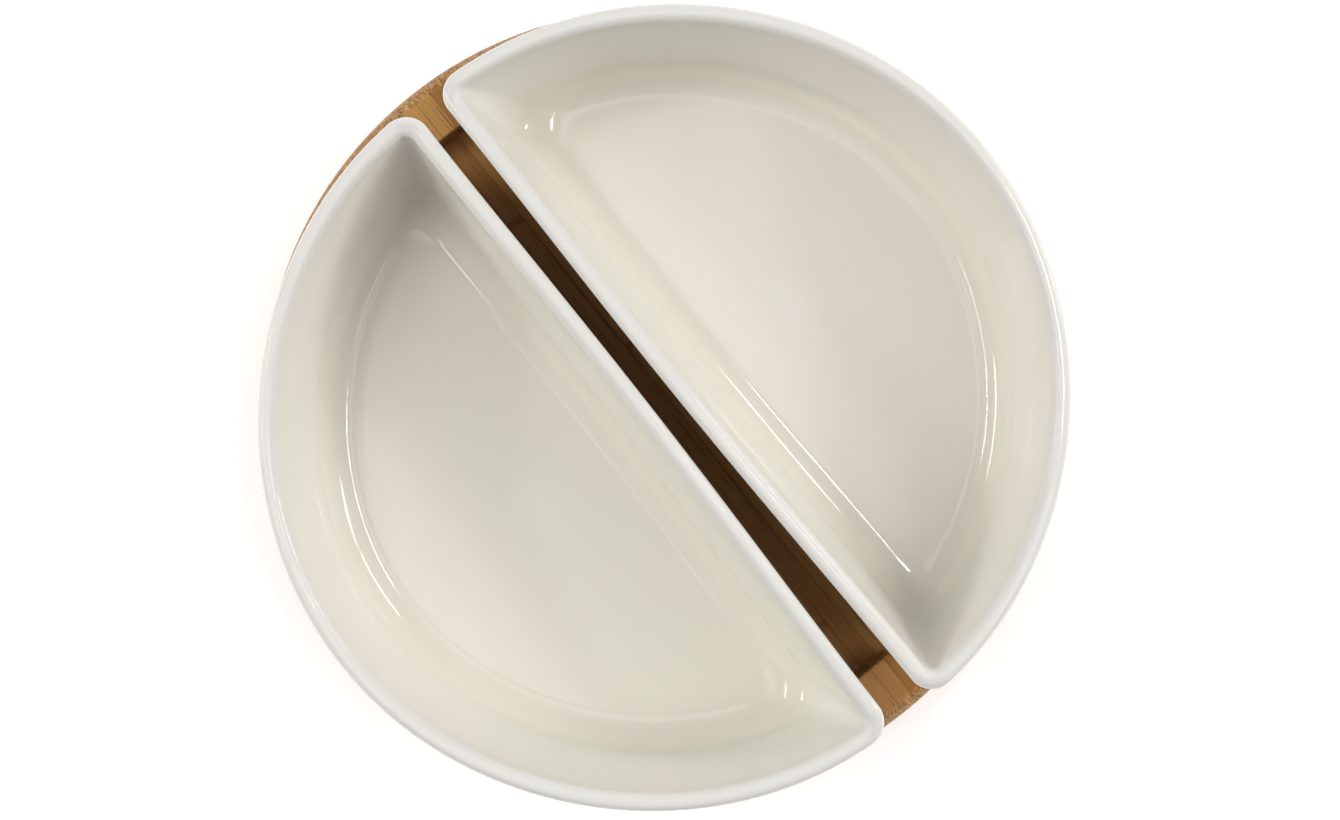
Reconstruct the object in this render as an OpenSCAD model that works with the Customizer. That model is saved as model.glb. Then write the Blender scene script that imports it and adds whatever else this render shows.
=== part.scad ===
// Chip and dip server: two half-round bowls that lift out of a round bamboo tray.
// Origin at the centre of the tray, on the surface it stands on. +Z is up.
// +X runs along the gap between the two bowls, +Y points at the right bowl.

/* [Tray] */
// Diameter of the round board
tray_d = 258; // [256:1:290]
// Thickness of the floor panel
panel_t = 6; // [5:0.5:8]
// Height of the rim ring that stands on the floor panel
ring_h = 12; // [10:0.5:15]
// Radius that rounds the top outer edge of the rim ring
edge_round = 7; // [2:0.5:9.5]
// Radius that rounds the bottom outer edge of the floor panel
under_round = 5; // [1:0.5:5]
// Radius of each half of the pocket that holds the bowls
pocket_r = 116.8; // [116.5:0.1:119]
// Distance of each half's centre from the middle of the tray
pocket_shift = 6.3; // [5:0.1:7]
// Chamfer around the top of the pocket
pocket_ease = 0.8; // [0.2:0.1:1.2]
// Distance from the middle to the end wall of the gap between the bowls
land_x = 110; // [106:1:112]
// Width of the land that closes each end of the gap
land_w = 15; // [10:1:16]

/* [Feet] */
// Diameter of a foot
foot_d = 14; // [10:1:20]
// Height that a foot stands out below the board
foot_proud = 2.5; // [1.5:0.5:5]
// Depth of the counterbore that holds a foot
foot_seat = 1.5; // [1:0.25:2.5]
// Gap around a foot in its counterbore
foot_gap = 0.2; // [0.1:0.05:0.4]
// Distance of the feet from the middle of the tray
foot_circle_r = 96; // [70:1:105]

/* [Bowl] */
// Radius of the rim's round side
bowl_r = 120; // [115:0.5:121]
// Height of a bowl, foot ring included
bowl_h = 51; // [45:1:60]
// Width of the rim
rim_w = 5.6; // [5.2:0.1:7]
// Radius of the rim's outer edge
rim_out_r = 2.2; // [1:0.1:2.3]
// Radius of the rim's inner edge
rim_in_r = 2.8; // [1:0.1:2.8]
// How far the round side draws in between its middle and each end
round_dip = 0.9; // [0:0.1:1]
// Distance of the straight side beyond the centre of the round side
chord_back = 0.8; // [0:0.1:2]
// How far the straight side bows out at its middle
chord_bow = 1.35; // [0:0.05:1.5]
// Radius of the rim's two corners
corner_r = 8; // [7:0.5:10]
// Radius of the corners inside the rim
corner_in_r = 3; // [2.5:0.5:4]
// Radius of the corners at the bottom, outside and inside
corner_base_r = 9; // [8:0.5:12]
// Slope of the walls from upright
draft = 10.5; // [6:0.5:12]
// Radius that blends the wall into the underside
blend_out_r = 15; // [12:1:17]
// Radius that blends the wall into the floor inside
blend_in_r = 11; // [8:1:13]
// Depth inside, from the rim to the floor
bowl_depth = 45; // [40:1:45]

/* [Foot ring of a bowl] */
// Height of the foot ring
ring_foot_h = 2; // [1:0.5:2.5]
// Width of the foot ring
ring_foot_w = 4.5; // [3:0.5:6]
// Distance of the foot ring from where the wall's blend ends
ring_foot_in = 3; // [2:0.5:6]
// Radius of the foot ring's edges
ring_foot_ease = 0.6; // [0.3:0.1:0.8]

/* [Places of the bowls] */
// Clearance under a bowl
seat_gap = 0.2; // [0.1:0.1:0.5]
// Centre of the right bowl's round side
right_at = [2.53, 7.22];
// Turn of the right bowl
right_turn = 0.33; // [0:0.01:0.5]
// Centre of the left bowl's round side
left_at = [2.42, -4.9];
// Turn of the left bowl
left_turn = 179.22; // [179:0.01:180]

/* [Hidden] */

bamboo = "#a0713f";
bamboo_light = "#b5854f";
porcelain = "#eeebe4";
rubber = "#3a3836";

round_fn = 128;
eps = 1;

tray_r = tray_d / 2;
panel_top = foot_proud + panel_t;
foot_h = foot_proud + foot_seat;
foot_ease = 0.8;
first_foot_angle = 45;

// Outline of a bowl at one level, anticlockwise: steps on the straight side, a corner and the arc.
chord_steps = 12;
corner_steps = 7;
arc_steps = 44;

// Rounds of the bowl's profile: steps of the rim's two edges and of the two wall blends.
rim_steps = 4;
blend_steps = 6;

// Heights in the bowl's own frame, where 0 is what the foot ring stands on.
rim_out_z = bowl_h - rim_out_r;
rim_in_z = bowl_h - rim_in_r;
blend_out_z = ring_foot_h + blend_out_r;
blend_in_z = bowl_h - bowl_depth + blend_in_r;

// Distance from the rim's outer edge to the centre of each round, so that the sloping wall is tangent to both.
rim_out_d = rim_out_r;
rim_in_d = rim_w - rim_in_r;
blend_out_d = rim_out_d + tan(draft) * (rim_out_z - blend_out_z) + (blend_out_r - rim_out_r) / cos(draft);
blend_in_d = rim_in_d + tan(draft) * (rim_in_z - blend_in_z) + (blend_in_r + rim_in_r) / cos(draft);

// Foot ring of the bowl: distances of its two sides from the rim's outer edge.
ring_foot_d = blend_out_d + ring_foot_in;
ring_foot_end_d = ring_foot_d + ring_foot_w;

function mix(a, b, t) = a + (b - a) * t;

// Corner radius outside and inside the wall, by height.
function corner_out(z) = mix(corner_base_r, corner_r, min(1, max(0, z / bowl_h)));
function corner_in(z) = mix(corner_base_r, corner_in_r, min(1, max(0, (z - bowl_h + bowl_depth) / bowl_depth)));

// Points of a round in the profile, each [distance in from the rim's edge, height, corner radius].
function round_out(d, z, r, from, to, steps) = [
    for (i = [0 : steps])
        let (a = mix(from, to, i / steps), h = z + r * sin(a))
        [d + r * cos(a), h, corner_out(h)]
];
function round_in(d, z, r, from, to, steps) = [
    for (i = [0 : steps])
        let (a = mix(from, to, i / steps), h = z + r * sin(a))
        [d + r * cos(a), h, corner_in(h)]
];

// The wall's section, from inside the foot ring, out and up, over the rim and down to the floor.
PROFILE = concat(
    [
        [ring_foot_end_d + ring_foot_ease, ring_foot_h, corner_base_r],
        [ring_foot_end_d, ring_foot_ease, corner_base_r],
        [ring_foot_end_d - ring_foot_ease, 0, corner_base_r],
        [ring_foot_d + ring_foot_ease, 0, corner_base_r],
        [ring_foot_d, ring_foot_ease, corner_base_r],
        [ring_foot_d - ring_foot_ease, ring_foot_h, corner_base_r]
    ],
    round_out(blend_out_d, blend_out_z, blend_out_r, 270, 180 + draft, blend_steps),
    round_out(rim_out_d, rim_out_z, rim_out_r, 180 + draft, 90, rim_steps),
    round_in(rim_in_d, rim_in_z, rim_in_r, 90, draft, rim_steps),
    round_in(blend_in_d, blend_in_z, blend_in_r, 180 + draft, 270, blend_steps)
);

// The outline at distance d inside the rim's edge, with corners of radius c.
function outline(d, z, c) =
    let (
        arc = bowl_r - d,
        y0 = d - chord_back,
        cy = y0 + c,
        cx = sqrt(pow(arc - c, 2) - pow(cy, 2)),
        turn = atan2(cy, cx)
    )
    concat(
        [for (i = [0 : chord_steps - 1])
            let (t = 2 * i / chord_steps - 1)
            [t * cx, y0 - chord_bow * pow(1 - t * t, 2), z]],
        [for (i = [0 : corner_steps - 1])
            let (a = mix(-90, turn, i / corner_steps))
            [cx + c * cos(a), cy + c * sin(a), z]],
        [for (i = [0 : arc_steps - 1])
            let (
                a = mix(turn, 180 - turn, i / arc_steps),
                r = arc - round_dip * pow(sin(360 * i / arc_steps), 2)
            )
            [r * cos(a), r * sin(a), z]],
        [for (i = [0 : corner_steps - 1])
            let (a = mix(180 - turn, 270, i / corner_steps))
            [-cx + c * cos(a), cy + c * sin(a), z]]
    );

// A closed skin over a stack of outlines that all have the same number of points.
module skin(levels) {
    n = len(levels[0]);
    last = len(levels) - 1;
    sides = [
        for (k = [0 : last - 1], j = [0 : n - 1])
            let (
                a = k * n + j,
                b = k * n + (j + 1) % n
            )
            each [[a, a + n, b + n], [a, b + n, b]]
    ];
    caps = [
        [for (j = [0 : n - 1]) j],
        [for (j = [n - 1 : -1 : 0]) last * n + j]
    ];
    polyhedron(points = [for (level = levels) each level], faces = concat(sides, caps), convexity = 6);
}

module bowl() {
    color(porcelain) skin([for (p = PROFILE) outline(p[0], p[1], p[2])]);
}

module bowl_right() {
    translate([right_at[0], right_at[1], panel_top + seat_gap]) rotate([0, 0, right_turn]) bowl();
}

module bowl_left() {
    translate([left_at[0], left_at[1], panel_top + seat_gap]) rotate([0, 0, left_turn]) bowl();
}

// The four places of the feet.
module at_foot(i) {
    rotate([0, 0, first_foot_angle + 90 * (i - 1)]) translate([foot_circle_r, 0, 0]) children();
}

module tray_floor() {
    flat_r = tray_r - under_round;
    color(bamboo) difference() {
        translate([0, 0, foot_proud]) rotate_extrude($fn = round_fn) {
            square([flat_r, panel_t]);
            translate([0, under_round]) square([tray_r, panel_t - under_round]);
            translate([flat_r, under_round]) intersection() {
                circle(r = under_round, $fn = round_fn);
                translate([0, -under_round]) square(under_round);
            }
        }
        for (i = [1 : 4])
            at_foot(i) translate([0, 0, foot_proud - eps])
                cylinder(d = foot_d + 2 * foot_gap, h = foot_seat + eps, $fn = round_fn);
    }
}

// Two overlapping rounds less the lands, which leaves a step at each end of the gap.
module pocket() {
    difference() {
        for (side = [-1, 1])
            translate([0, side * pocket_shift, 0]) {
                translate([0, 0, -eps]) cylinder(r = pocket_r, h = ring_h + 2 * eps, $fn = round_fn);
                translate([0, 0, ring_h - pocket_ease])
                    cylinder(r1 = pocket_r, r2 = pocket_r + pocket_ease + eps, h = pocket_ease + eps, $fn = round_fn);
            }
        for (side = [-1, 1])
            translate([side * (land_x + tray_r) / 2, 0, ring_h / 2])
                cube([tray_r - land_x, land_w, ring_h + 4 * eps], center = true);
    }
}

module tray_rim() {
    flat_r = tray_r - edge_round;
    color(bamboo_light) translate([0, 0, panel_top]) difference() {
        rotate_extrude($fn = round_fn) {
            square([flat_r, ring_h]);
            square([tray_r, ring_h - edge_round]);
            translate([flat_r, ring_h - edge_round]) intersection() {
                circle(r = edge_round, $fn = round_fn);
                square(edge_round);
            }
        }
        pocket();
    }
}

// A round pad with its lower edge rounded, flat underneath.
module foot(i) {
    pad_r = foot_d / 2;
    color(rubber) at_foot(i) rotate_extrude($fn = round_fn) {
        square([pad_r - foot_ease, foot_h]);
        translate([0, foot_ease]) square([pad_r, foot_h - foot_ease]);
        translate([pad_r - foot_ease, foot_ease]) intersection() {
            circle(r = foot_ease, $fn = round_fn);
            translate([0, -foot_ease]) square(foot_ease);
        }
    }
}

tray_floor();
tray_rim();
bowl_left();
bowl_right();
foot(1);  // foot_1
foot(2);  // foot_2
foot(3);  // foot_3
foot(4);  // foot_4
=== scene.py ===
import math

import bpy
from mathutils import Matrix, Vector


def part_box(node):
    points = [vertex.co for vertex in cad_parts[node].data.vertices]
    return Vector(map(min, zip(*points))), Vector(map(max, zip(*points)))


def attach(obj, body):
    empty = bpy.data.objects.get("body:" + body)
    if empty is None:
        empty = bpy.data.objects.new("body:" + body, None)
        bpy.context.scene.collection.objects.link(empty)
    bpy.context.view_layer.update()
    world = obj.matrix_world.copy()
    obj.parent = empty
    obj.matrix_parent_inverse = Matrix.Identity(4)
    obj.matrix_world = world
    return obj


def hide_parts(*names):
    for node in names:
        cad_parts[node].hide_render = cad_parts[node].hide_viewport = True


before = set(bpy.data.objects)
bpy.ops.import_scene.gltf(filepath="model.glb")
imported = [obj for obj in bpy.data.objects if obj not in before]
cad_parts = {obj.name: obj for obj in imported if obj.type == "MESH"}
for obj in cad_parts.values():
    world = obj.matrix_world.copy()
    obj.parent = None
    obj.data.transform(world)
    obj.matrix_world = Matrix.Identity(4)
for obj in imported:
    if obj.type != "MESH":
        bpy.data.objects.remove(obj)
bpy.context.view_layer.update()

MM = 0.001

# ---------------------------------------------------------------- design values, as in the CAD source

# Tray: the board's round edge, its pocket and the lands that close the ends of the gap.
TRAY_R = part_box("tray_rim")[1][0]
PANEL_BOTTOM, PANEL_TOP = (corner[2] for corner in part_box("tray_floor"))
RING_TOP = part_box("tray_rim")[1][2]
EDGE_ROUND = 7 * MM
UNDER_ROUND = 5 * MM
POCKET_R = 116.8 * MM
POCKET_SHIFT = 6.3 * MM
LAND_X = 110 * MM
LAND_HALF = 7.5 * MM
LAND_TIP_R = 1.6 * MM
LAND_ROOT_R = 1.5 * MM
POCKET_EASE = 0.8 * MM
GLUE_EASE = 0.22 * MM
GLUED_W = 4 * MM

# Feet.
FOOT_NODES = ["foot_1", "foot_2", "foot_3", "foot_4"]
FOOT_GAP = 0.2 * MM
FOOT_SEAT_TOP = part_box("foot_1")[1][2]

# Bowl, in its own frame: the round side's centre is the origin and the foot ring stands on z = 0.
BOWL_R = 120 * MM
BOWL_H = 51 * MM
BOWL_DEPTH = 45 * MM
RIM_W = 5.6 * MM
RIM_OUT_R = 2.2 * MM
RIM_IN_R = 2.8 * MM
ROUND_DIP = 0.9 * MM
CHORD_BACK = 0.8 * MM
CHORD_BOW = 1.35 * MM
CORNER_R = 8 * MM
CORNER_IN_R = 3 * MM
CORNER_BASE_R = 9 * MM
DRAFT = math.radians(10.5)
BLEND_OUT_R = 15 * MM
BLEND_IN_R = 11 * MM
FOOT_RING_H = 2 * MM
FOOT_RING_W = 4.5 * MM
FOOT_RING_IN = 3 * MM
FOOT_RING_EASE = 0.6 * MM
FLOOR_DISH = 0.2 * MM

# Where each bowl's round side is centred, and how far the bowl is turned.
BOWLS = {
    "bowl_right": ((2.53 * MM, 7.22 * MM), math.radians(0.33)),
    "bowl_left": ((2.42 * MM, -4.9 * MM), math.radians(179.22)),
}

# ---------------------------------------------------------------- camera

# The camera looks down on the middle. The photograph's right-hand direction lies this far round from +X.
PHOTO_TURN = math.radians(51.19)
RIM_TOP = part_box("bowl_right")[1][2]
CAMERA_ABOVE_RIM = 0.6
CAMERA_AT = (4.33 * MM, 1.78 * MM)
CAMERA_LENS = 53.05

# It leans a little from upright, and the picture is shifted back over the bowls.
CAMERA_LEAN = (math.radians(2.07), math.radians(-0.59))
CAMERA_SHIFT = (-0.0158, -0.0548)


def from_photo(right, down, height):
    """A point in the part's frame, given as offsets to the photograph's right and down, and a height."""
    c, s = math.cos(PHOTO_TURN), math.sin(PHOTO_TURN)
    return Vector((right * c + down * s, right * s - down * c, height))


def make_camera():
    data = bpy.data.cameras.new("camera")
    data.lens = CAMERA_LENS
    data.shift_x, data.shift_y = CAMERA_SHIFT
    data.clip_start = 0.01
    camera = bpy.data.objects.new("camera", data)
    camera.location = (*CAMERA_AT, RIM_TOP + CAMERA_ABOVE_RIM)
    camera.rotation_euler = (*CAMERA_LEAN, PHOTO_TURN)
    bpy.context.scene.collection.objects.link(camera)
    bpy.context.scene.camera = camera


# ---------------------------------------------------------------- mesh helpers


def mix(a, b, t):
    return a + (b - a) * t


def clamp(t):
    return min(1.0, max(0.0, t))


# Edges that turn by more than this, in degrees, stay crisp.
SHARP_ABOVE = 38


def new_object(name, mesh):
    piece = bpy.data.objects.new(name, mesh)
    bpy.context.scene.collection.objects.link(piece)
    return piece


def smooth(mesh, sharp_above=SHARP_ABOVE):
    """Smooth shading, with edges sharper than the given angle in degrees left crisp."""
    mesh.shade_smooth()
    mesh.set_sharp_from_angle(angle=math.radians(sharp_above))


def grid_faces(rows, columns):
    """Quads between rows of points that each close on themselves, and facing outwards when the rows go up."""
    return [
        (k * columns + j, k * columns + (j + 1) % columns, (k + 1) * columns + (j + 1) % columns,
         (k + 1) * columns + j)
        for k in range(rows - 1)
        for j in range(columns)
    ]


def skin(name, levels, first_centre=None, last_centre=None):
    """A mesh over a stack of closed outlines.

    A centre given for the first or last level closes it with a fan.
    """
    columns = len(levels[0])
    points = [p for level in levels for p in level]
    faces = grid_faces(len(levels), columns)
    if first_centre is not None:
        centre = len(points)
        points.append(first_centre)
        faces += [((j + 1) % columns, j, centre) for j in range(columns)]
    if last_centre is not None:
        centre = len(points)
        last = (len(levels) - 1) * columns
        points.append(last_centre)
        faces += [(last + j, last + (j + 1) % columns, centre) for j in range(columns)]
    mesh = bpy.data.meshes.new(name)
    mesh.from_pydata(points, [], faces)
    return mesh


def circle(radius, z, steps):
    return [
        (radius * math.cos(2 * math.pi * j / steps), radius * math.sin(2 * math.pi * j / steps), z)
        for j in range(steps)
    ]


def quarter(r_centre, z_centre, radius, from_deg, to_deg, steps):
    """Points of a round in a turned profile, as (distance from the axis, height)."""
    angles = [math.radians(mix(from_deg, to_deg, i / steps)) for i in range(steps + 1)]
    return [(r_centre + radius * math.cos(a), z_centre + radius * math.sin(a)) for a in angles]


def lathe(name, profile, steps=256):
    """A solid of revolution, with its profile from the underside's middle round to the top's middle."""
    levels = [circle(r, z, steps) for r, z in profile]
    bottom, top = profile[0][1], profile[-1][1]
    return skin(name, levels, (0, 0, bottom), (0, 0, top))


# ---------------------------------------------------------------- node helpers


def new_material(name):
    material = bpy.data.materials.new(name)
    material.use_nodes = True
    nodes = material.node_tree.nodes
    nodes.clear()
    output = nodes.new("ShaderNodeOutputMaterial")
    shader = nodes.new("ShaderNodeBsdfPrincipled")
    material.node_tree.links.new(shader.outputs[0], output.inputs[0])
    return material, shader


def add(material, kind, inputs=None, **settings):
    """Adds a node. An input is a value, or another node's output, which is linked."""
    node = material.node_tree.nodes.new("ShaderNode" + kind)
    for key, value in settings.items():
        setattr(node, key, value)
    for key, value in (inputs or {}).items():
        set_input(material, node, key, value)
    return node


def set_input(material, node, key, value):
    if isinstance(value, bpy.types.NodeSocket):
        material.node_tree.links.new(value, node.inputs[key])
    else:
        node.inputs[key].default_value = value


def maths(material, operation, a, b=0.0, c=0.0):
    return add(material, "Math", {0: a, 1: b, 2: c}, operation=operation).outputs[0]


def part_of(material, value, share):
    """A mask turned down to a share of its strength."""
    return maths(material, "MULTIPLY", value, share)


def ramp(material, value, low, high, to_low=0.0, to_high=1.0, kind="SMOOTHSTEP"):
    """Maps a value from one range to another, and holds it at the ends."""
    node = add(
        material,
        "MapRange",
        {"Value": value, "From Min": low, "From Max": high, "To Min": to_low, "To Max": to_high},
        interpolation_type=kind,
    )
    return node.outputs[0]


def blend(material, factor, a, b):
    """Mixes two colours."""
    node = add(material, "Mix", data_type="RGBA")
    set_input(material, node, 0, factor)
    set_input(material, node, 6, a)
    set_input(material, node, 7, b)
    return node.outputs[2]


def colours(material, value, stops):
    """A colour ramp from (position, (r, g, b)) stops."""
    node = add(material, "ValToRGB", {"Fac": value})
    elements = node.color_ramp.elements
    while len(elements) < len(stops):
        elements.new(0.5)
    for element, (position, colour) in zip(elements, stops):
        element.position = position
        element.color = (*colour, 1)
    return node.outputs["Color"]


def object_point(material, location=(0, 0, 0)):
    """The surface's point in its own object's frame, moved for a pattern of its own."""
    where = add(material, "TexCoord").outputs["Object"]
    mapping = add(material, "Mapping", {"Vector": where, "Location": location})
    return mapping.outputs[0]


def noise(material, vector, scale, detail=3.0, roughness=0.5, distortion=0.0):
    settings = {"Scale": scale, "Detail": detail, "Roughness": roughness, "Distortion": distortion}
    return add(material, "TexNoise", {"Vector": vector, **settings}).outputs[0]


def bump(material, shader, height, distance, strength=1.0):
    node = add(material, "Bump", {"Height": height, "Distance": distance, "Strength": strength})
    set_input(material, shader, "Normal", node.outputs[0])


# ---------------------------------------------------------------- materials

STRIP_W = 5.5 * MM
KNOT_SPACING = 0.21

# The patterns of two strips can lie this far apart along the grain.
STRIP_SPREAD = 7.3

BAMBOO_LIGHT = (0.51, 0.278, 0.090)
BAMBOO_MIDDLE = (0.415, 0.208, 0.062)
BAMBOO_DARK = (0.312, 0.140, 0.038)
BAMBOO_RED = (0.38, 0.155, 0.055, 1)
VESSEL_DARK = (0.15, 0.060, 0.018, 1)
KNOT_DARK = (0.20, 0.085, 0.03, 1)
GLUE_DARK = (0.12, 0.05, 0.017, 1)
END_GRAIN = [(0.40, (0.24, 0.105, 0.034)), (0.52, (0.44, 0.245, 0.10)), (0.62, (0.62, 0.39, 0.19))]

# Each pattern's scale along the strip and the two ways across it.
FIBRE_STRETCH = (26, 1500, 1500)
STREAK_STRETCH = (9, 420, 420)
COMB_STRETCH = (70, 1100, 1500)


def stretched(material, vector, scale):
    return add(material, "Mapping", {"Vector": vector, "Scale": scale}).outputs[0]


def bamboo(name, strip_shift, seed, tone):
    """Carbonised bamboo laminated from narrow strips that run along X, with fibres, knots and glue lines."""
    material, shader = new_material(name)
    point = object_point(material)
    split = add(material, "SeparateXYZ", {0: point})
    x, y = split.outputs[0], split.outputs[1]

    across = maths(material, "DIVIDE", maths(material, "ADD", y, strip_shift), STRIP_W)
    index = maths(material, "FLOOR", across)
    inside = maths(material, "FRACT", across)
    random = add(material, "TexWhiteNoise", {"W": maths(material, "ADD", index, seed)}, noise_dimensions="1D")
    strip_tone = random.outputs["Value"]
    strip_shift_x = maths(material, "MULTIPLY", strip_tone, STRIP_SPREAD)

    # Each strip has its own stretch of fibres, long along X and fine across.
    own = add(material, "CombineXYZ", {0: strip_shift_x, 1: index, 2: strip_shift_x}).outputs[0]
    shifted = add(material, "VectorMath", {0: point, 1: own}, operation="ADD").outputs[0]
    fibres = noise(material, stretched(material, shifted, FIBRE_STRETCH), 1.0, 4.0, 0.62)
    streaks = noise(material, stretched(material, shifted, STREAK_STRETCH), 1.0, 3.0, 0.55, 0.6)
    cloud = noise(material, shifted, 24.0, 2.0)

    # Dark vessel lines lie thicker towards one side of each strip.
    density = ramp(material, inside, 0.0, 1.0, 0.36, 0.47, "LINEAR")
    lines = ramp(material, fibres, maths(material, "SUBTRACT", density, 0.06), density, 1.0, 0.0)

    # Knots cross a strip at its own places.
    along = maths(material, "DIVIDE", maths(material, "ADD", x, strip_shift_x), KNOT_SPACING)
    knot_at = maths(material, "ABSOLUTE", maths(material, "SUBTRACT", maths(material, "FRACT", along), 0.5))
    knot = ramp(material, knot_at, 0.003, 0.011, 1.0, 0.0)

    # Glue between strips.
    seam_at = maths(material, "ABSOLUTE", maths(material, "SUBTRACT", inside, 0.5))
    seam = ramp(material, seam_at, 0.476, 0.494, 0.0, 1.0)

    tone_value = maths(material, "ADD", part_of(material, strip_tone, 0.5), part_of(material, streaks, 0.5))
    stops = [(0.22, BAMBOO_DARK), (0.5, BAMBOO_MIDDLE), (0.78, BAMBOO_LIGHT)]
    toned = [(position, [channel * tone for channel in shade]) for position, shade in stops]
    colour = colours(material, tone_value, toned)
    colour = blend(material, part_of(material, lines, 0.62), colour, VESSEL_DARK)
    red = ramp(material, cloud, 0.48, 0.66, 0.0, 0.45)
    colour = blend(material, red, colour, BAMBOO_RED)
    colour = blend(material, part_of(material, knot, 0.55), colour, KNOT_DARK)

    # Cut ends of the fibres show as a paler comb where the edge turns down across the grain.
    # The comb is calmer low on the edge, where it is upright.
    facing = add(material, "SeparateXYZ", {0: add(material, "TexCoord").outputs["Normal"]}).outputs
    end = ramp(material, maths(material, "ABSOLUTE", facing[0]), 0.12, 0.55)
    combed = ramp(material, maths(material, "ABSOLUTE", facing[2]), 0.1, 0.6, 0.3, 1.0)
    comb = noise(material, stretched(material, shifted, COMB_STRETCH), 1.0, 2.0, 0.6)
    comb = maths(material, "MULTIPLY_ADD", maths(material, "SUBTRACT", comb, 0.5), combed, 0.5)
    colour = blend(material, part_of(material, end, 0.72), colour, colours(material, comb, END_GRAIN))
    colour = blend(material, part_of(material, seam, 0.7), colour, GLUE_DARK)

    set_input(material, shader, "Base Color", colour)
    sheen = ramp(material, cloud, 0.3, 0.7, 0.40, 0.52)
    set_input(material, shader, "Roughness", maths(material, "ADD", part_of(material, lines, 0.18), sheen))
    shader.inputs["Specular IOR Level"].default_value = 0.3
    pits = maths(material, "ADD", part_of(material, lines, -0.7), part_of(material, fibres, 0.5))
    relief = maths(material, "SUBTRACT", pits, part_of(material, seam, 0.8))
    bump(material, shader, relief, 0.08 * MM, 0.7)
    return material


GLAZE_COOL = (0.801, 0.796, 0.732, 1)
GLAZE_WARM = (0.828, 0.794, 0.744, 1)
# Pooled glaze with painted shade: darker and yellower in the crease where the wall bends into the floor.
GLAZE_POOLED_AND_SHADED = (0.785, 0.748, 0.632, 1)
# Thin glaze over the rim: less cream, and painted darker as painted shade on the rim's top.
GLAZE_THIN_AND_SHADED = (0.748, 0.744, 0.726, 1)
GLAZE_MOTTLE = (0.77, 0.745, 0.655, 1)
SPECK_DARK = (0.42, 0.39, 0.32, 1)


def glaze(name, seed):
    """Off-white stoneware under a clear glossy glaze.

    It is whiter in tint where it thins on the rim, and painted darker there, as painted shade on the rim's
    top. It is creamier and darker in the bend over the floor, where the glaze pools and painted shade darkens
    the crease.
    """
    material, shader = new_material(name)
    point = object_point(material, location=(seed, seed, seed))
    thin_and_shade = add(material, "Attribute", attribute_name="thin_and_shade").outputs["Fac"]
    pool_and_shade = add(material, "Attribute", attribute_name="pool_and_shade").outputs["Fac"]

    wide = noise(material, point, 11.0, 2.0, 0.45, 0.4)
    fine = noise(material, point, 70.0, 3.0)
    warm = ramp(material, wide, 0.44, 0.60)
    colour = blend(material, warm, GLAZE_COOL, GLAZE_WARM)
    # Painted shade with the pooled glaze: darker and yellower in the bend over the floor.
    colour = blend(material, part_of(material, pool_and_shade, 0.65), colour, GLAZE_POOLED_AND_SHADED)
    # Painted shade with the thin glaze: darker over the rim's top.
    colour = blend(material, part_of(material, thin_and_shade, 0.8), colour, GLAZE_THIN_AND_SHADED)
    mottle = ramp(material, fine, 0.35, 0.65, 0.0, 0.05)
    colour = blend(material, mottle, colour, GLAZE_MOTTLE)

    # A few pinholes and specks in the glaze.
    cells = add(material, "TexVoronoi", {"Vector": point, "Scale": 52.0, "Randomness": 1.0})
    chosen = add(material, "TexWhiteNoise", {"Vector": cells.outputs["Color"]}, noise_dimensions="3D")
    few = ramp(material, chosen.outputs["Value"], 0.93, 0.935)
    near = ramp(material, cells.outputs["Distance"], 0.012, 0.035, 1.0, 0.0)
    speck = maths(material, "MULTIPLY", few, near)
    colour = blend(material, part_of(material, speck, 0.45), colour, SPECK_DARK)
    set_input(material, shader, "Base Color", colour)

    smears = noise(material, point, 9.0, 2.0, 0.5)
    set_input(material, shader, "Roughness", ramp(material, smears, 0.3, 0.7, 0.28, 0.34))
    shader.inputs["Coat Weight"].default_value = 1.0
    shader.inputs["Coat Roughness"].default_value = 0.07
    shader.inputs["Coat IOR"].default_value = 1.52
    shader.inputs["Specular IOR Level"].default_value = 0.05
    shader.inputs["Subsurface Weight"].default_value = 0.08
    shader.inputs["Subsurface Radius"].default_value = (1.0, 0.9, 0.7)
    shader.inputs["Subsurface Scale"].default_value = 1.5 * MM

    # Long, low waves in the glaze, and the dimples of the pinholes.
    waves = noise(material, point, 48.0, 1.0, 0.4)
    relief = maths(material, "SUBTRACT", waves, part_of(material, speck, 0.3))
    node = add(material, "Bump", {"Height": relief, "Distance": 0.1 * MM, "Strength": 0.32})
    set_input(material, shader, "Normal", node.outputs[0])
    set_input(material, shader, "Coat Normal", node.outputs[0])
    return material


def bare_clay(name):
    """The dry ground ring that a bowl stands on."""
    material, shader = new_material(name)
    point = object_point(material)
    grit = noise(material, point, 1400.0, 4.0, 0.65)
    stain = noise(material, point, 45.0, 3.0)
    colour = colours(material, grit, [(0.32, (0.50, 0.45, 0.36)), (0.5, (0.66, 0.61, 0.51)),
                                      (0.7, (0.74, 0.70, 0.61))])
    colour = blend(material, ramp(material, stain, 0.5, 0.72, 0.0, 0.4), colour, (0.46, 0.40, 0.32, 1))
    set_input(material, shader, "Base Color", colour)
    set_input(material, shader, "Roughness", ramp(material, grit, 0.3, 0.7, 0.78, 0.94))
    bump(material, shader, grit, 0.06 * MM, 0.8)
    return material


def rubber(name):
    """Soft dark pads with moulding grain and a little dust."""
    material, shader = new_material(name)
    point = object_point(material)
    grain = noise(material, point, 2600.0, 3.0, 0.6)
    dust = noise(material, point, 130.0, 4.0, 0.6)
    colour = blend(material, ramp(material, dust, 0.48, 0.72, 0.0, 0.4), (0.030, 0.029, 0.027, 1),
                   (0.095, 0.090, 0.082, 1))
    set_input(material, shader, "Base Color", colour)
    set_input(material, shader, "Roughness", ramp(material, grain, 0.3, 0.7, 0.62, 0.85))
    bump(material, shader, grain, 0.03 * MM, 0.6)
    return material


PAPER_GLOW = 0.32


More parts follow.
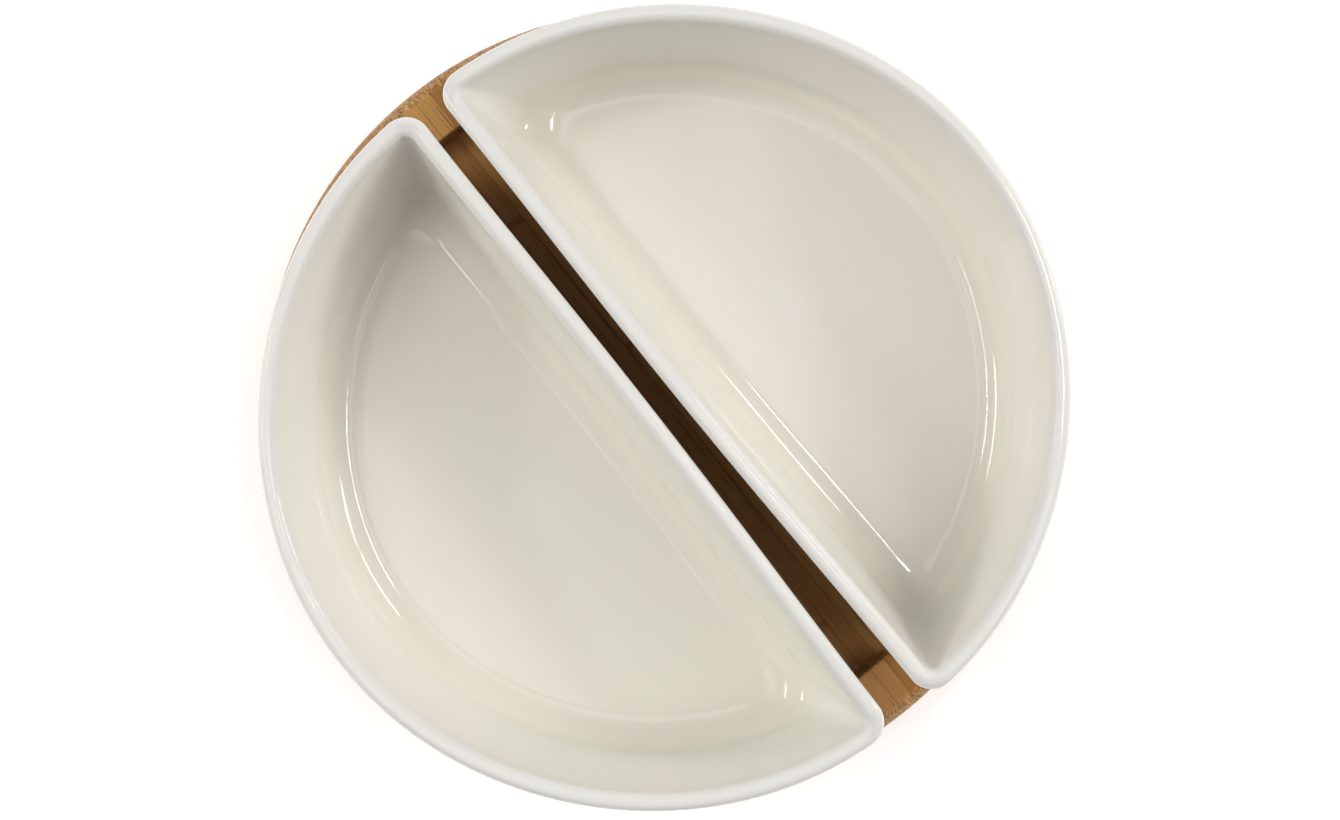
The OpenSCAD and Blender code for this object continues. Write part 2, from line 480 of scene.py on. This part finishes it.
def paper(name):
    """The plain pale floor, which glows a little so that it stays white beside the object."""
    material, shader = new_material(name)
    point = object_point(material)
    tooth = noise(material, point, 300.0, 2.0)
    set_input(material, shader, "Base Color",
              blend(material, tooth, (0.93, 0.93, 0.93, 1), (0.95, 0.95, 0.95, 1)))
    set_input(material, shader, "Roughness", ramp(material, tooth, 0.3, 0.7, 0.85, 0.95))
    shader.inputs["Emission Color"].default_value = (1.0, 1.0, 1.0, 1)
    shader.inputs["Emission Strength"].default_value = PAPER_GLOW
    return material


# ---------------------------------------------------------------- bowls

CHORD_STEPS = 80
BOWL_CORNER_STEPS = 20
ARC_STEPS = 220

# A row this far from a round's end keeps the round crisp.
SUPPORT = 0.4 * MM


def outline(d, z, corner):
    """A bowl's outline at distance d inside the rim's edge: a bowed straight side, two corners and an arc."""
    arc = BOWL_R - d
    y0 = d - CHORD_BACK
    cy = y0 + corner
    cx = math.sqrt((arc - corner) ** 2 - cy ** 2)
    turn = math.atan2(cy, cx)
    points = []
    for i in range(CHORD_STEPS):
        t = 2 * i / CHORD_STEPS - 1
        points.append((t * cx, y0 - CHORD_BOW * (1 - t * t) ** 2, z))
    for i in range(BOWL_CORNER_STEPS):
        a = mix(-math.pi / 2, turn, i / BOWL_CORNER_STEPS)
        points.append((cx + corner * math.cos(a), cy + corner * math.sin(a), z))
    for i in range(ARC_STEPS):
        a = mix(turn, math.pi - turn, i / ARC_STEPS)
        r = arc - ROUND_DIP * math.sin(2 * math.pi * i / ARC_STEPS) ** 2
        points.append((r * math.cos(a), r * math.sin(a), z))
    for i in range(BOWL_CORNER_STEPS):
        a = mix(math.pi - turn, 1.5 * math.pi, i / BOWL_CORNER_STEPS)
        points.append((-cx + corner * math.cos(a), cy + corner * math.sin(a), z))
    return points


def corner_out(z):
    return mix(CORNER_BASE_R, CORNER_R, clamp(z / BOWL_H))


def corner_in(z):
    return mix(CORNER_BASE_R, CORNER_IN_R, clamp((z - BOWL_H + BOWL_DEPTH) / BOWL_DEPTH))


def wall_rows(start, end, corner_at, steps):
    """Rows on the straight slope between two rounds, with one close to each end to keep the rounds crisp."""
    length = math.dist(start[:2], end[:2])
    stops = [SUPPORT / length] + [i / steps for i in range(1, steps)] + [1 - SUPPORT / length]
    rows = []
    for t in stops:
        z = mix(start[1], end[1], t)
        rows.append((mix(start[0], end[0], t), z, corner_at(z)))
    return rows


def round_rows(d, z, radius, from_deg, to_deg, steps, corner_at):
    rows = []
    for i in range(steps + 1):
        a = math.radians(mix(from_deg, to_deg, i / steps))
        height = z + radius * math.sin(a)
        rows.append((d + radius * math.cos(a), height, corner_at(height)))
    return rows


def bowl_rows():
    """The wall's section as rows of (distance in, height, corner radius), and how many are foot ring."""
    draft = math.degrees(DRAFT)
    out_z, in_z = BOWL_H - RIM_OUT_R, BOWL_H - RIM_IN_R
    blend_out_z = FOOT_RING_H + BLEND_OUT_R
    blend_in_z = BOWL_H - BOWL_DEPTH + BLEND_IN_R
    in_d = RIM_W - RIM_IN_R
    slope = math.tan(DRAFT)
    blend_out_d = RIM_OUT_R + slope * (out_z - blend_out_z) + (BLEND_OUT_R - RIM_OUT_R) / math.cos(DRAFT)
    blend_in_d = in_d + slope * (in_z - blend_in_z) + (BLEND_IN_R + RIM_IN_R) / math.cos(DRAFT)

    ring_a = blend_out_d + FOOT_RING_IN
    ring_b = ring_a + FOOT_RING_W
    ease = FOOT_RING_EASE

    def base(z):
        return CORNER_BASE_R

    # A small flare joins each side of the ring to the base, as (distance from it, height).
    flare = [(2 * ease, FOOT_RING_H), (ease, FOOT_RING_H - ease * 0.3), (ease * 0.3, ease * 1.6)]
    foot = [(ring_b + away, z, CORNER_BASE_R) for away, z in flare]
    foot += round_rows(ring_b - ease, ease, ease, 0, -90, 5, base)
    foot += round_rows(ring_a + ease, ease, ease, 270, 180, 5, base)
    foot += [(ring_a - away, z, CORNER_BASE_R) for away, z in reversed(flare)]

    blend_out = round_rows(blend_out_d, blend_out_z, BLEND_OUT_R, 270, 180 + draft, 18, corner_out)
    rim_out = round_rows(RIM_OUT_R, out_z, RIM_OUT_R, 180 + draft, 90, 10, corner_out)
    rim_in = round_rows(in_d, in_z, RIM_IN_R, 90, draft, 12, corner_in)
    blend_in = round_rows(blend_in_d, blend_in_z, BLEND_IN_R, 180 + draft, 270, 22, corner_in)
    rows = foot + blend_out + wall_rows(blend_out[-1], rim_out[0], corner_out, 8) + rim_out
    rows += rim_in + wall_rows(rim_in[-1], blend_in[0], corner_in, 10) + blend_in
    rows.append((blend_in_d + SUPPORT, BOWL_H - BOWL_DEPTH, CORNER_BASE_R))
    return rows, len(foot)


def shrink(level, centre, share, lift):
    """The level drawn in towards its centre, to fill a floor with even rings."""
    return [(mix(centre[0], x, share), mix(centre[1], y, share), z + lift) for x, y, z in level]


def set_attribute(mesh, name, values):
    attribute = mesh.attributes.new(name, "FLOAT", "POINT")
    attribute.data.foreach_set("value", values)


# The glaze runs smoothly over all but the foot ring's edges.
BOWL_SHARP_ABOVE = 55

# A floor is filled with rings of these shares of its outline, drawn in towards the bowl's middle.
FILL_SHARES = [0.93, 0.8, 0.62, 0.42, 0.2]
BOWL_MIDDLE = (0.0, 0.045)

# The glaze thins over the top of the rim, where it is also painted darker as painted shade. It pools in the
# bend at this height over the floor, where painted shade also darkens the crease.
THIN_AND_SHADE_FROM = 4 * MM
THIN_AND_SHADE_OVER = 3 * MM
POOL_AND_SHADE_AT = 3 * MM
POOL_AND_SHADE_REACH = 9 * MM

# Rows of the foot's flare at its inner and outer side that are glazed like the rest.
GLAZED_INNER = 2
GLAZED_OUTER = 3


def bowl_mesh(name):
    rows, foot_rows = bowl_rows()
    body = [outline(*row) for row in rows]
    floor_z = BOWL_H - BOWL_DEPTH
    under = [shrink(body[0], BOWL_MIDDLE, share, 0.0) for share in reversed(FILL_SHARES)]
    floor = [shrink(body[-1], BOWL_MIDDLE, share, -FLOOR_DISH * (1 - share * share)) for share in FILL_SHARES]
    levels = under + body + floor
    mesh = skin(name, levels, (*BOWL_MIDDLE, FOOT_RING_H), (*BOWL_MIDDLE, floor_z - FLOOR_DISH))

    # How much the glaze thins and pools, with the painted shade on the rim's top and in the crease over the
    # floor, by row. The two centre points come last.
    columns = len(body[0])
    inside_from = len(under) + len(rows) // 2
    thin_and_shade, pool_and_shade = [], []
    for k, level in enumerate(levels):
        z = level[0][2]
        thin_and_shade += [clamp((z - BOWL_H + THIN_AND_SHADE_FROM) / THIN_AND_SHADE_OVER)] * columns
        # Pooled glaze and painted shade in the crease over the floor.
        depth = clamp(1 - abs(z - floor_z - POOL_AND_SHADE_AT) / POOL_AND_SHADE_REACH) if k > inside_from else 0.0
        pool_and_shade += [depth] * columns
    thin_and_shade += [0.0, 0.0]
    pool_and_shade += [0.0, 0.0]
    set_attribute(mesh, "thin_and_shade", thin_and_shade)
    set_attribute(mesh, "pool_and_shade", pool_and_shade)

    # The dry ring's faces take the second material.
    first = (len(under) + GLAZED_INNER) * columns
    last = (len(under) + foot_rows - GLAZED_OUTER) * columns
    for face in mesh.polygons[first:last]:
        face.material_index = 1
    smooth(mesh, BOWL_SHARP_ABOVE)
    return mesh


def make_bowl(node, clay, seed):
    (x, y), turn = BOWLS[node]
    base_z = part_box(node)[0][2]
    mesh = bowl_mesh(node + "_glazed")
    mesh.transform(Matrix.Translation((x, y, base_z)) @ Matrix.Rotation(turn, 4, "Z"))
    piece = new_object(node + "_glazed", mesh)
    mesh.materials.append(glaze(node + "_glaze", seed))
    mesh.materials.append(clay)
    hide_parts(node)
    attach(piece, node)


# ---------------------------------------------------------------- tray

POCKET_ARC_STEPS = 150
CORNER_STEPS = 8


def pocket_quarter():
    """A quarter of the pocket's outline, from +X to +Y, and the point where its large arc starts.

    A point is (x, y, normal x, normal y), and its normal runs into the wood.
    """
    points = [(LAND_X, LAND_HALF * t, 1.0, 0.0) for t in (0.0, 0.25, 0.5)]
    tip = (LAND_X + LAND_TIP_R, LAND_HALF - LAND_TIP_R)
    for i in range(CORNER_STEPS + 1):
        a = math.radians(mix(180, 90, i / CORNER_STEPS))
        c, s = math.cos(a), math.sin(a)
        points.append((tip[0] + LAND_TIP_R * c, tip[1] + LAND_TIP_R * s, -c, -s))
    root_y = LAND_HALF + LAND_ROOT_R
    rise = root_y - POCKET_SHIFT
    root = (math.sqrt((POCKET_R - LAND_ROOT_R) ** 2 - rise ** 2), root_y)
    touch = math.atan2(rise, root[0])
    for i in range(CORNER_STEPS + 1):
        a = mix(-math.pi / 2, touch, i / CORNER_STEPS)
        c, s = math.cos(a), math.sin(a)
        points.append((root[0] + LAND_ROOT_R * c, root[1] + LAND_ROOT_R * s, c, s))
    bend = len(points)
    for i in range(1, POCKET_ARC_STEPS + 1):
        a = mix(touch, math.pi / 2, i / POCKET_ARC_STEPS)
        c, s = math.cos(a), math.sin(a)
        points.append((POCKET_R * c, POCKET_SHIFT + POCKET_R * s, c, s))
    return points, bend


def pocket_outline():
    """The whole outline, anticlockwise, each point with the angle at which it meets the tray's round edge."""
    points, bend = pocket_quarter()
    angles = [math.atan2(y, x) for x, y, _, _ in points]
    for k in range(bend):
        angles[k] = angles[bend] * k / bend
    quarter_points = list(zip(points, angles))
    second = [((-x, y, -nx, ny), math.pi - a) for (x, y, nx, ny), a in reversed(quarter_points[:-1])]
    half = quarter_points + second
    other = [((-x, -y, -nx, -ny), a + math.pi) for (x, y, nx, ny), a in half[1:-1]]
    return half + other


def ring_top(radius):
    """Height of the ring's upper side at a distance from the tray's middle."""
    over = max(0.0, radius - TRAY_R + EDGE_ROUND)
    return RING_TOP - EDGE_ROUND + math.sqrt(EDGE_ROUND ** 2 - over ** 2)


EDGE_STEPS = 18
EASE_STEPS = 5


def ring_column(x, y, nx, ny, angle):
    """One cut through the ring, from its glued side up round the edge, over the top and into the pocket."""
    c, s = math.cos(angle), math.sin(angle)
    lip = Vector((x + nx * POCKET_EASE, y + ny * POCKET_EASE))
    flat_r = TRAY_R - EDGE_ROUND
    stop_r = max(flat_r, lip.length + 3 * SUPPORT)
    last_turn = math.degrees(math.acos((stop_r - flat_r) / EDGE_ROUND))
    turned = [(TRAY_R - GLUED_W, PANEL_TOP), (TRAY_R - GLUE_EASE, PANEL_TOP)]
    turned.append((TRAY_R, PANEL_TOP + GLUE_EASE))
    turned += quarter(flat_r, RING_TOP - EDGE_ROUND, EDGE_ROUND, 0, last_turn, EDGE_STEPS)
    column = [(r * c, r * s, z) for r, z in turned]

    stop = Vector((stop_r * c, stop_r * s))
    step = (lip - stop).normalized() * SUPPORT
    for point in (stop + step, lip - step):
        column.append((*point, ring_top(point.length)))
    lip_z = ring_top(lip.length)
    for r, z in quarter(-POCKET_EASE, lip_z - POCKET_EASE, POCKET_EASE, 90, 0, EASE_STEPS):
        column.append((x - nx * r, y - ny * r, z))
    for t in (0.08, 0.35, 0.65, 1.0):
        column.append((x, y, mix(lip_z - POCKET_EASE, PANEL_TOP, t)))
    return column


def make_tray_rim():
    outline_points = pocket_outline()
    built = [ring_column(*point, angle) for point, angle in outline_points]
    levels = [list(level) for level in zip(*built)]
    columns = len(outline_points)
    count = len(levels)
    mesh = bpy.data.meshes.new("tray_rim_wood")
    faces = grid_faces(count, columns)
    last = (count - 1) * columns
    faces += [(last + j, last + (j + 1) % columns, (j + 1) % columns, j) for j in range(columns)]
    mesh.from_pydata([p for level in levels for p in level], [], faces)
    smooth(mesh)
    piece = new_object("tray_rim_wood", mesh)
    mesh.materials.append(bamboo("bamboo_rim", strip_shift=0.9 * MM, seed=3.0, tone=1.0))
    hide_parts("tray_rim")
    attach(piece, "tray")


def foot_centre(node):
    low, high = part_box(node)
    return (low[0] + high[0]) / 2, (low[1] + high[1]) / 2


def foot_radius(node):
    low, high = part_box(node)
    return (high[0] - low[0]) / 2


def cut_seats(panel):
    """Sinks the four counterbores into the panel's underside."""
    cutters = []
    for node in FOOT_NODES:
        x, y = foot_centre(node)
        radius = foot_radius(node) + FOOT_GAP
        mesh = lathe("seat_cutter", [(radius, 0.0), (radius, FOOT_SEAT_TOP)], steps=64)
        mesh.transform(Matrix.Translation((x, y, 0)))
        cutter = new_object("seat_cutter", mesh)
        cutters.append(cutter)
        modifier = panel.modifiers.new("seat", "BOOLEAN")
        modifier.operation = "DIFFERENCE"
        modifier.solver = "EXACT"
        modifier.object = cutter
    graph = bpy.context.evaluated_depsgraph_get()
    cut = bpy.data.meshes.new_from_object(panel.evaluated_get(graph))
    panel.modifiers.clear()
    panel.data = cut
    for cutter in cutters:
        bpy.data.objects.remove(cutter)


def make_tray_floor():
    flat = TRAY_R - UNDER_ROUND
    profile = [(r, PANEL_BOTTOM) for r in (30 * MM, 80 * MM, 115 * MM, flat - SUPPORT)]
    profile += quarter(flat, PANEL_BOTTOM + UNDER_ROUND, UNDER_ROUND, -90, 0, 14)
    profile += [(TRAY_R, PANEL_TOP - GLUE_EASE), (TRAY_R - GLUE_EASE, PANEL_TOP)]
    profile += [(r, PANEL_TOP) for r in (TRAY_R - GLUED_W, 100 * MM, 50 * MM)]
    panel = new_object("tray_floor_wood", lathe("tray_floor_wood", profile, steps=288))
    cut_seats(panel)
    smooth(panel.data)
    panel.data.materials.clear()
    # The panel's bamboo is painted a little lighter than the ring's, as painted light for the floor in the
    # gap, which lies in shade.
    panel.data.materials.append(bamboo("bamboo_panel", strip_shift=2.4 * MM, seed=41.0, tone=1.06))
    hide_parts("tray_floor")
    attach(panel, "tray")


def make_foot(node, material):
    """A moulded pad with a rounded edge, a shallow dish underneath and a small vent in its middle."""
    low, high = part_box(node)
    x, y = foot_centre(node)
    radius = foot_radius(node)
    rounding = 0.8 * MM
    dish = 0.35 * MM
    vent = 0.7 * MM
    chamfer = 0.3 * MM
    profile = [(0.5 * MM, vent), (0.8 * MM, dish), (radius * 0.50, dish), (radius * 0.58, 0.05 * MM)]
    profile += [(radius * 0.60, 0.0), (radius - rounding - 0.2 * MM, 0.0)]
    profile += quarter(radius - rounding, rounding, rounding, -90, 0, 8)
    profile += [(radius, high[2] - chamfer), (radius - chamfer, high[2])]
    mesh = lathe(node + "_pad", profile, steps=72)
    mesh.transform(Matrix.Translation((x, y, low[2])))
    smooth(mesh)
    mesh.materials.append(material)
    piece = new_object(node + "_pad", mesh)
    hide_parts(node)
    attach(piece, "tray")


# ---------------------------------------------------------------- stage and light

FLOOR_SIZE = 8.0


def make_floor():
    mesh = bpy.data.meshes.new("stage_floor")
    half = FLOOR_SIZE / 2
    corners = [(-half, -half, 0), (half, -half, 0), (half, half, 0), (-half, half, 0)]
    mesh.from_pydata(corners, [], [(0, 1, 2, 3)])
    mesh.materials.append(paper("floor_paper"))
    floor = new_object("stage_floor", mesh)


def make_light(name, mirrored, colour, place, turn, size, power):
    """A panel over the object, given by its place and turn in the photograph, and aimed at the bowls.

    A panel that isn't mirrored lights the object without showing in the glaze.
    """
    data = bpy.data.lights.new(name, "AREA")
    data.shape = "RECTANGLE"
    data.size, data.size_y = size
    data.energy = power
    data.color = colour
    light = bpy.data.objects.new(name, data)
    light.visible_glossy = mirrored
    at = from_photo(*place)
    back = (at - Vector((0, 0, RIM_TOP))).normalized()
    turn = math.radians(turn)
    side = from_photo(math.cos(turn), math.sin(turn), 0)
    side = (side - back * side.dot(back)).normalized()
    up = back.cross(side)
    light.matrix_world = Matrix.Translation(at) @ Matrix((side, up, back)).transposed().to_4x4()
    bpy.context.scene.collection.objects.link(light)


WARM = (1.0, 0.99, 0.97)
ROSE = (1.0, 0.85, 0.93)

# Each light: its colour, its place as (right, down, height), its turn in degrees, its width and length, and
# its power. The first ones show in the glaze as lines and pale patches.
MIRRORED_LIGHTS = {
    "strip_right": (WARM, (0.393, -0.107, 1.55), -12, (0.05, 0.28), 1.2),
    "strip_left": (WARM, (-0.80, -0.053, 1.55), 0, (0.03, 0.26), 1.1),
    "faint_right": (WARM, (0.43, 0.20, 1.55), 0, (0.05, 0.22), 0.2),
    "faint_left": (WARM, (-0.80, 0.21, 1.55), 0, (0.12, 0.26), 0.6),
    "low_straight": (WARM, (1.25, -0.754, 0.80), -38, (0.12, 0.40), 2.3),
    "low_arc": (WARM, (1.36, -0.40, 0.80), 16, (0.12, 0.46), 2.4),
    "low_left": (WARM, (-1.35, -0.11, 0.80), 0, (0.10, 0.48), 2.6),
    "patch_right": (ROSE, (0.06, -0.12, 2.30), -20, (0.30, 0.60), 0.80),
    "patch_left": (ROSE, (-0.36, 0.33, 2.30), -36, (0.30, 0.60), 0.80),
}

# These ones light the object evenly, and aren't mirrored.
SOFT_LIGHTS = {
    "side_right": (WARM, (1.45, -0.25, 1.00), 0, (1.1, 1.7), 17.5),
    "side_left": (WARM, (-1.45, 0.10, 1.00), 0, (1.1, 1.7), 13.8),
    "side_top": (WARM, (0.20, -1.45, 1.00), 0, (1.7, 1.1), 4.3),
    "end_top": (WARM, (-0.82, -0.42, 1.55), 0, (0.6, 0.6), 6.0),
    "end_bottom": (WARM, (0.82, 0.42, 1.55), 0, (0.6, 0.6), 3.8),
}

# The backdrop matches the floor far away, and lights nothing.
BACKDROP_STRENGTH = 0.33


def make_lights():
    for name, settings in MIRRORED_LIGHTS.items():
        make_light(name, True, *settings)
    for name, settings in SOFT_LIGHTS.items():
        make_light(name, False, *settings)


def make_backdrop():
    world = bpy.data.worlds.new("studio")
    world.use_nodes = True
    background = world.node_tree.nodes["Background"]
    background.inputs["Color"].default_value = (1.0, 0.99, 0.975, 1)
    background.inputs["Strength"].default_value = BACKDROP_STRENGTH
    world.cycles_visibility.diffuse = False
    world.cycles_visibility.glossy = False
    bpy.context.scene.world = world
    bpy.context.scene.view_settings.view_transform = "Standard"


# ---------------------------------------------------------------- build

make_camera()
make_floor()
make_lights()
make_backdrop()
clay = bare_clay("bare_clay")
for number, node in enumerate(BOWLS):
    make_bowl(node, clay, seed=0.37 * number)
make_tray_rim()
make_tray_floor()
pad = rubber("foot_rubber")
for node in FOOT_NODES:
    make_foot(node, pad)
